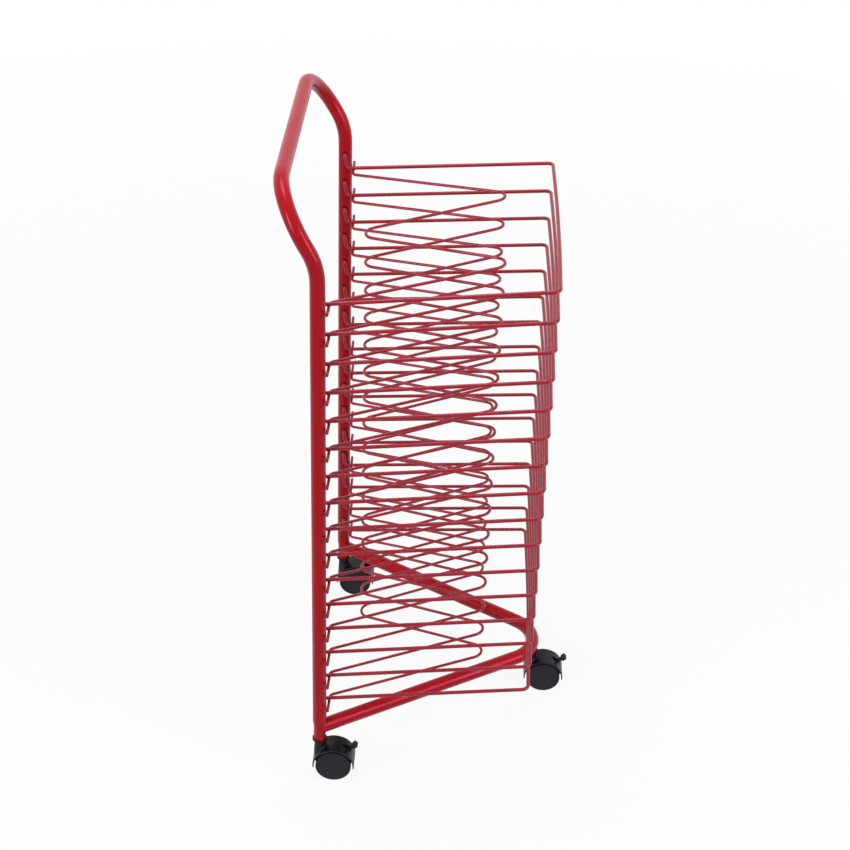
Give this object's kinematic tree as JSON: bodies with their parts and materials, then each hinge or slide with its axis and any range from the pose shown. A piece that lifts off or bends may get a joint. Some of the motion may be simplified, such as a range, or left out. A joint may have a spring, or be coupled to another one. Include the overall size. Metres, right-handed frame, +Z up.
{
  "type": "art drying rack",
  "caption": "Mobile art drying rack: stacked hinged wire shelves between two tube uprights with a bent push handle, on a V-shaped base with twin-wheel castors.",
  "frame": {"origin": "on the floor, under the centre of the overall bounding box", "axes": "+X from the uprights to the free front of the shelves, +Y to the rack's right as seen from its front, +Z up"},
  "size_m": [0.4102, 0.457, 0.9],
  "materials": {
    "red_powder_coat": "glossy deep red powder coat",
    "zinc_steel": "bright zinc plating",
    "black_nylon": "satin black moulded nylon",
    "wheel_nylon": "dull black-grey moulded nylon"
  },
  "bodies": {
    "frame": {"frame_tube": "red_powder_coat", "base_tube": "red_powder_coat", "base_stub_left": "red_powder_coat", "base_stub_right": "red_powder_coat", "base_stub_front": "red_powder_coat", "castor_left_insert": "black_nylon", "castor_left_stem": "zinc_steel", "castor_right_insert": "black_nylon", "castor_right_stem": "zinc_steel", "castor_front_insert": "black_nylon", "castor_front_stem": "zinc_steel"},
    "shelf_01": {"shelf_01_frame_wire": "red_powder_coat", "shelf_01_support_wire": "red_powder_coat"},
    "shelf_02": {"shelf_02_frame_wire": "red_powder_coat", "shelf_02_support_wire": "red_powder_coat"},
    "shelf_03": {"shelf_03_frame_wire": "red_powder_coat", "shelf_03_support_wire": "red_powder_coat"},
    "shelf_04": {"shelf_04_frame_wire": "red_powder_coat", "shelf_04_support_wire": "red_powder_coat"},
    "shelf_05": {"shelf_05_frame_wire": "red_powder_coat", "shelf_05_support_wire": "red_powder_coat"},
    "shelf_06": {"shelf_06_frame_wire": "red_powder_coat", "shelf_06_support_wire": "red_powder_coat"},
    "shelf_07": {"shelf_07_frame_wire": "red_powder_coat", "shelf_07_support_wire": "red_powder_coat"},
    "shelf_08": {"shelf_08_frame_wire": "red_powder_coat", "shelf_08_support_wire": "red_powder_coat"},
    "shelf_09": {"shelf_09_frame_wire": "red_powder_coat", "shelf_09_support_wire": "red_powder_coat"},
    "shelf_10": {"shelf_10_frame_wire": "red_powder_coat", "shelf_10_support_wire": "red_powder_coat"},
    "shelf_11": {"shelf_11_frame_wire": "red_powder_coat", "shelf_11_support_wire": "red_powder_coat"},
    "shelf_12": {"shelf_12_frame_wire": "red_powder_coat", "shelf_12_support_wire": "red_powder_coat"},
    "shelf_13": {"shelf_13_frame_wire": "red_powder_coat", "shelf_13_support_wire": "red_powder_coat"},
    "shelf_14": {"shelf_14_frame_wire": "red_powder_coat", "shelf_14_support_wire": "red_powder_coat"},
    "shelf_15": {"shelf_15_frame_wire": "red_powder_coat", "shelf_15_support_wire": "red_powder_coat"},
    "shelf_16": {"shelf_16_frame_wire": "red_powder_coat", "shelf_16_support_wire": "red_powder_coat"},
    "castor_left_swivel": {"castor_left_hood": "black_nylon", "castor_left_axle": "zinc_steel"},
    "castor_left_wheel_left": {"castor_left_wheel_left": "wheel_nylon"},
    "castor_left_wheel_right": {"castor_left_wheel_right": "wheel_nylon"},
    "castor_left_brake": {"castor_left_brake": "black_nylon"},
    "castor_right_swivel": {"castor_right_hood": "black_nylon", "castor_right_axle": "zinc_steel"},
    "castor_right_wheel_left": {"castor_right_wheel_left": "wheel_nylon"},
    "castor_right_wheel_right": {"castor_right_wheel_right": "wheel_nylon"},
    "castor_right_brake": {"castor_right_brake": "black_nylon"},
    "castor_front_swivel": {"castor_front_hood": "black_nylon", "castor_front_axle": "zinc_steel"},
    "castor_front_wheel_left": {"castor_front_wheel_left": "wheel_nylon"},
    "castor_front_wheel_right": {"castor_front_wheel_right": "wheel_nylon"},
    "castor_front_brake": {"castor_front_brake": "black_nylon"}
  },
  "joints": [
    {"name": "shelf_01_hinge", "type": "hinge", "parent": "frame", "child": "shelf_01", "pos_m": [-0.14783, 0, 0.1455], "axis": [0, -1, 0], "range_deg": [0, 70]},
    {"name": "shelf_02_hinge", "type": "hinge", "parent": "frame", "child": "shelf_02", "pos_m": [-0.14783, 0, 0.187], "axis": [0, -1, 0], "range_deg": [0, 70]},
    {"name": "shelf_03_hinge", "type": "hinge", "parent": "frame", "child": "shelf_03", "pos_m": [-0.14783, 0, 0.2285], "axis": [0, -1, 0], "range_deg": [0, 70]},
    {"name": "shelf_04_hinge", "type": "hinge", "parent": "frame", "child": "shelf_04", "pos_m": [-0.14783, 0, 0.27], "axis": [0, -1, 0], "range_deg": [0, 70]},
    {"name": "shelf_05_hinge", "type": "hinge", "parent": "frame", "child": "shelf_05", "pos_m": [-0.14783, 0, 0.3115], "axis": [0, -1, 0], "range_deg": [0, 70]},
    {"name": "shelf_06_hinge", "type": "hinge", "parent": "frame", "child": "shelf_06", "pos_m": [-0.14783, 0, 0.353], "axis": [0, -1, 0], "range_deg": [0, 70]},
    {"name": "shelf_07_hinge", "type": "hinge", "parent": "frame", "child": "shelf_07", "pos_m": [-0.14783, 0, 0.3945], "axis": [0, -1, 0], "range_deg": [0, 70]},
    {"name": "shelf_08_hinge", "type": "hinge", "parent": "frame", "child": "shelf_08", "pos_m": [-0.14783, 0, 0.436], "axis": [0, -1, 0], "range_deg": [0, 70]},
    {"name": "shelf_09_hinge", "type": "hinge", "parent": "frame", "child": "shelf_09", "pos_m": [-0.14783, 0, 0.4775], "axis": [0, -1, 0], "range_deg": [0, 70]},
    {"name": "shelf_10_hinge", "type": "hinge", "parent": "frame", "child": "shelf_10", "pos_m": [-0.14783, 0, 0.519], "axis": [0, -1, 0], "range_deg": [0, 70]},
    {"name": "shelf_11_hinge", "type": "hinge", "parent": "frame", "child": "shelf_11", "pos_m": [-0.14783, 0, 0.5605], "axis": [0, -1, 0], "range_deg": [0, 70]},
    {"name": "shelf_12_hinge", "type": "hinge", "parent": "frame", "child": "shelf_12", "pos_m": [-0.14783, 0, 0.602], "axis": [0, -1, 0], "range_deg": [0, 70]},
    {"name": "shelf_13_hinge", "type": "hinge", "parent": "frame", "child": "shelf_13", "pos_m": [-0.14783, 0, 0.6435], "axis": [0, -1, 0], "range_deg": [0, 70]},
    {"name": "shelf_14_hinge", "type": "hinge", "parent": "frame", "child": "shelf_14", "pos_m": [-0.14783, 0, 0.685], "axis": [0, -1, 0], "range_deg": [0, 70]},
    {"name": "shelf_15_hinge", "type": "hinge", "parent": "frame", "child": "shelf_15", "pos_m": [-0.14783, 0, 0.7265], "axis": [0, -1, 0], "range_deg": [0, 70]},
    {"name": "shelf_16_hinge", "type": "hinge", "parent": "frame", "child": "shelf_16", "pos_m": [-0.14783, 0, 0.768], "axis": [0, -1, 0], "range_deg": [0, 70]},
    {"name": "castor_left_swivel_turn", "type": "hinge", "parent": "frame", "child": "castor_left_swivel", "pos_m": [-0.14783, -0.211, 0.057], "axis": [0, 0, 1], "continuous": true},
    {"name": "castor_left_wheel_left_spin", "type": "hinge", "parent": "castor_left_swivel", "child": "castor_left_wheel_left", "pos_m": [-0.12783, -0.211, 0.025], "axis": [0, 1, 0], "continuous": true},
    {"name": "castor_left_wheel_right_spin", "type": "hinge", "parent": "castor_left_swivel", "child": "castor_left_wheel_right", "pos_m": [-0.12783, -0.211, 0.025], "axis": [0, 1, 0], "continuous": true},
    {"name": "castor_left_brake_press", "type": "hinge", "parent": "castor_left_swivel", "child": "castor_left_brake", "pos_m": [-0.11416, -0.211, 0.0382], "axis": [0, 1, 0], "range_deg": [0, 12]},
    {"name": "castor_right_swivel_turn", "type": "hinge", "parent": "frame", "child": "castor_right_swivel", "pos_m": [-0.14783, 0.211, 0.057], "axis": [0, 0, 1], "continuous": true},
    {"name": "castor_right_wheel_left_spin", "type": "hinge", "parent": "castor_right_swivel", "child": "castor_right_wheel_left", "pos_m": [-0.12783, 0.211, 0.025], "axis": [0, 1, 0], "continuous": true},
    {"name": "castor_right_wheel_right_spin", "type": "hinge", "parent": "castor_right_swivel", "child": "castor_right_wheel_right", "pos_m": [-0.12783, 0.211, 0.025], "axis": [0, 1, 0], "continuous": true},
    {"name": "castor_right_brake_press", "type": "hinge", "parent": "castor_right_swivel", "child": "castor_right_brake", "pos_m": [-0.11416, 0.211, 0.0382], "axis": [0, 1, 0], "range_deg": [0, 12]},
    {"name": "castor_front_swivel_turn", "type": "hinge", "parent": "frame", "child": "castor_front_swivel", "pos_m": [0.15217, 0, 0.057], "axis": [0, 0, 1], "continuous": true},
    {"name": "castor_front_wheel_left_spin", "type": "hinge", "parent": "castor_front_swivel", "child": "castor_front_wheel_left", "pos_m": [0.17217, 0, 0.025], "axis": [0, 1, 0], "continuous": true},
    {"name": "castor_front_wheel_right_spin", "type": "hinge", "parent": "castor_front_swivel", "child": "castor_front_wheel_right", "pos_m": [0.17217, 0, 0.025], "axis": [0, 1, 0], "continuous": true},
    {"name": "castor_front_brake_press", "type": "hinge", "parent": "castor_front_swivel", "child": "castor_front_brake", "pos_m": [0.18584, 0, 0.0382], "axis": [0, 1, 0], "range_deg": [0, 12]}
  ],
  "couplings": [
    {"joint": "shelf_01_hinge", "follows": "shelf_16_hinge", "ratio": 1},
    {"joint": "shelf_02_hinge", "follows": "shelf_16_hinge", "ratio": 1},
    {"joint": "shelf_03_hinge", "follows": "shelf_16_hinge", "ratio": 1},
    {"joint": "shelf_04_hinge", "follows": "shelf_16_hinge", "ratio": 1},
    {"joint": "shelf_05_hinge", "follows": "shelf_16_hinge", "ratio": 1},
    {"joint": "shelf_06_hinge", "follows": "shelf_16_hinge", "ratio": 1},
    {"joint": "shelf_07_hinge", "follows": "shelf_16_hinge", "ratio": 1},
    {"joint": "shelf_08_hinge", "follows": "shelf_16_hinge", "ratio": 1},
    {"joint": "shelf_09_hinge", "follows": "shelf_16_hinge", "ratio": 1},
    {"joint": "shelf_10_hinge", "follows": "shelf_16_hinge", "ratio": 1},
    {"joint": "shelf_11_hinge", "follows": "shelf_16_hinge", "ratio": 1},
    {"joint": "shelf_12_hinge", "follows": "shelf_16_hinge", "ratio": 1},
    {"joint": "shelf_13_hinge", "follows": "shelf_16_hinge", "ratio": 1},
    {"joint": "shelf_14_hinge", "follows": "shelf_16_hinge", "ratio": 1},
    {"joint": "shelf_15_hinge", "follows": "shelf_16_hinge", "ratio": 1}
  ]
}
